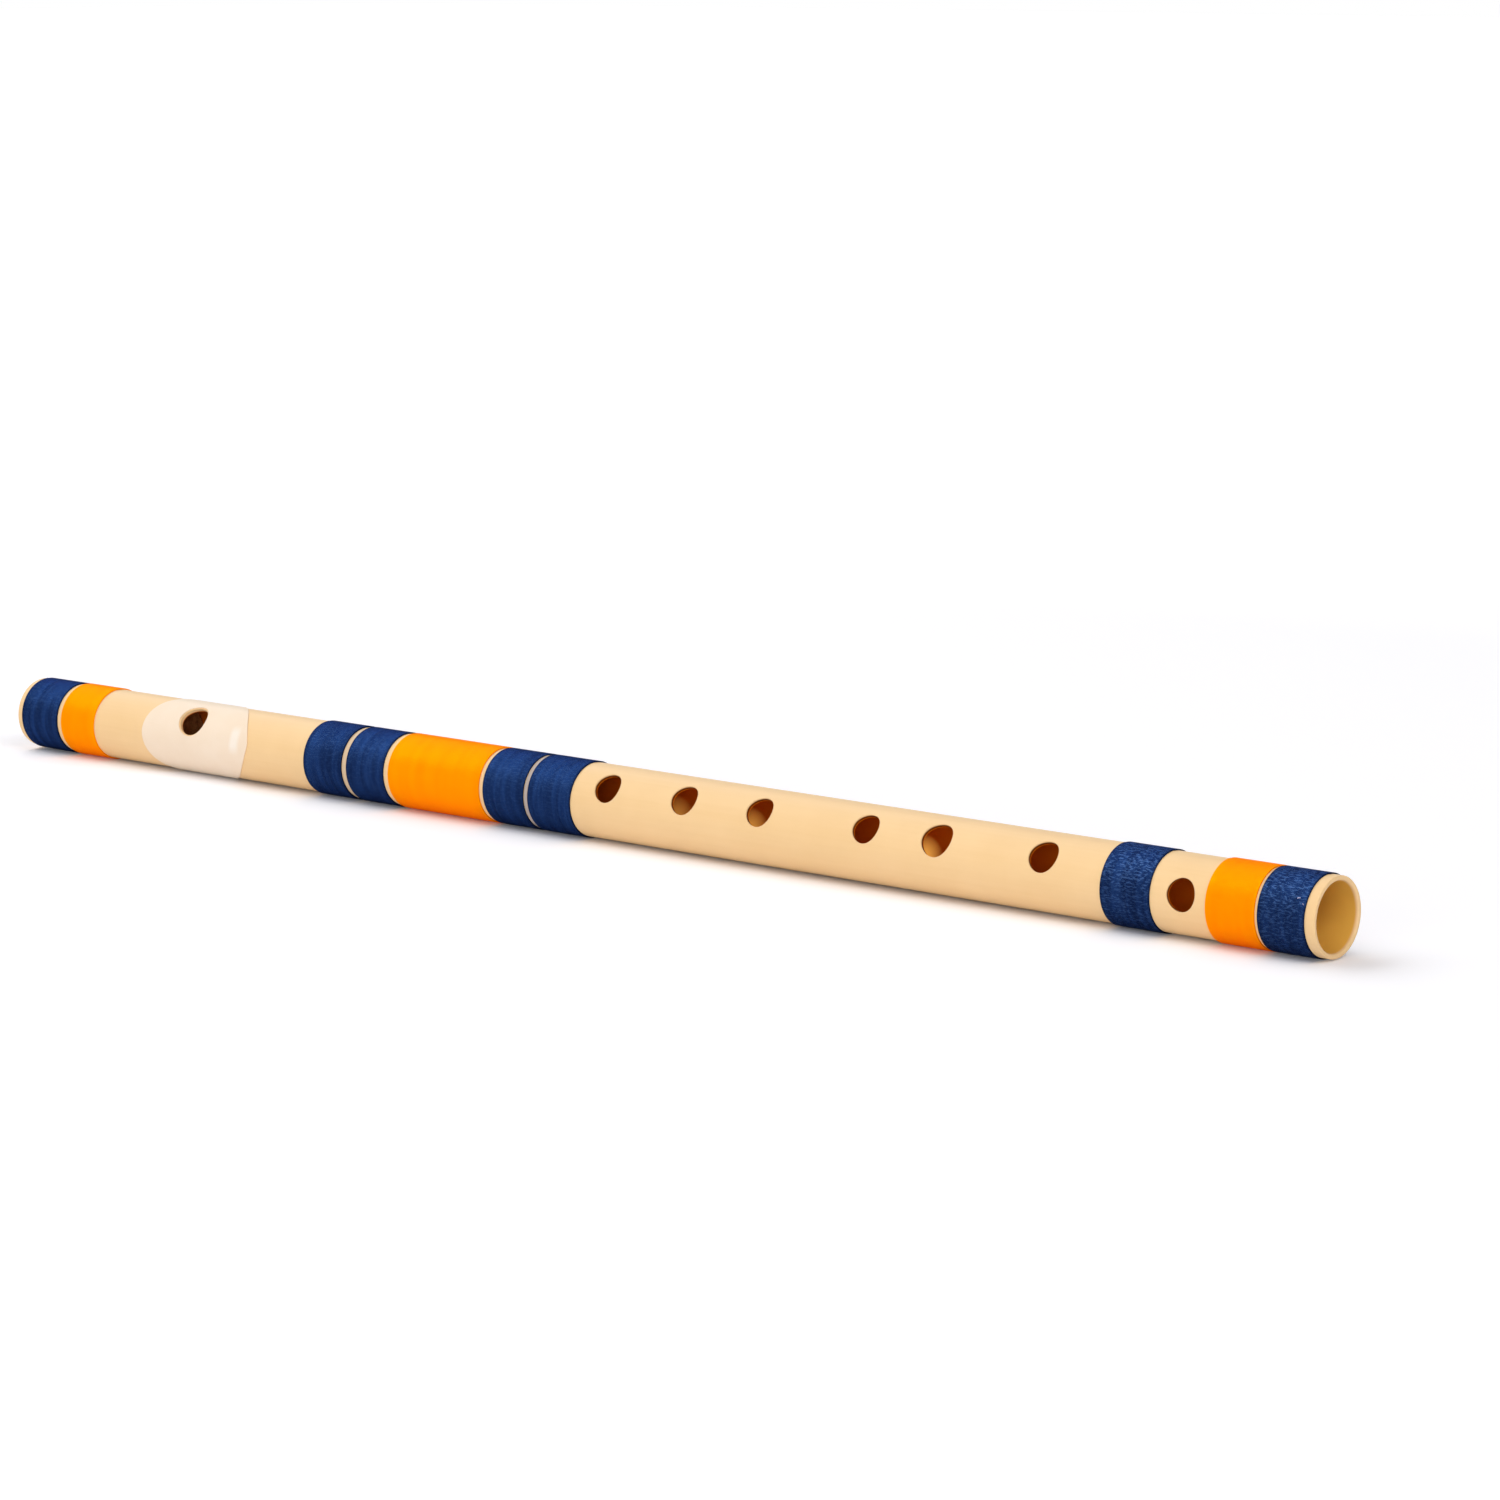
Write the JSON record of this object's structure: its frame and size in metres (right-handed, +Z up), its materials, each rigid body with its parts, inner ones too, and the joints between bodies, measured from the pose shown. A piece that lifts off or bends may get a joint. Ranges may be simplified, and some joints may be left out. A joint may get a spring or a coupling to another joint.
{
  "type": "bansuri side-blown flute",
  "caption": "Side-blown keyless flute of one straight cream plastic pipe, with a blow hole, lip pad, line of finger holes, vent hole, and blue and orange thread bindings.",
  "frame": {"origin": "on the plane that the flute lies on, straight under the middle of its length and its axis", "axes": "+X along the pipe to the open end, +Z up, with the finger holes looking up and towards -Y"},
  "size_m": [0.508, 0.023, 0.0231],
  "materials": {
    "cream_pipe": "cream plastic pipe, satin gloss",
    "cork": "plain cork",
    "pad_sheet": "thin milky sheet, glossy",
    "blue_thread": "close-wound navy blue thread",
    "orange_thread": "close-wound bright orange thread"
  },
  "bodies": {
    "flute": {"tube": "cream_pipe", "lip_pad": "pad_sheet", "foot_blue_binding": "blue_thread", "foot_orange_binding": "orange_thread", "lower_blue_binding": "blue_thread", "middle_blue_binding_1": "blue_thread", "middle_blue_binding_2": "blue_thread", "middle_orange_binding": "orange_thread", "middle_blue_binding_3": "blue_thread", "middle_blue_binding_4": "blue_thread", "head_orange_binding": "orange_thread", "head_blue_binding": "blue_thread"},
    "stopper": {"stopper": "cork"}
  },
  "joints": [
    {"name": "stopper_slide", "type": "slide", "parent": "flute", "child": "stopper", "axis": [1, 0, 0], "range_m": [-0.004, 0.004]}
  ]
}
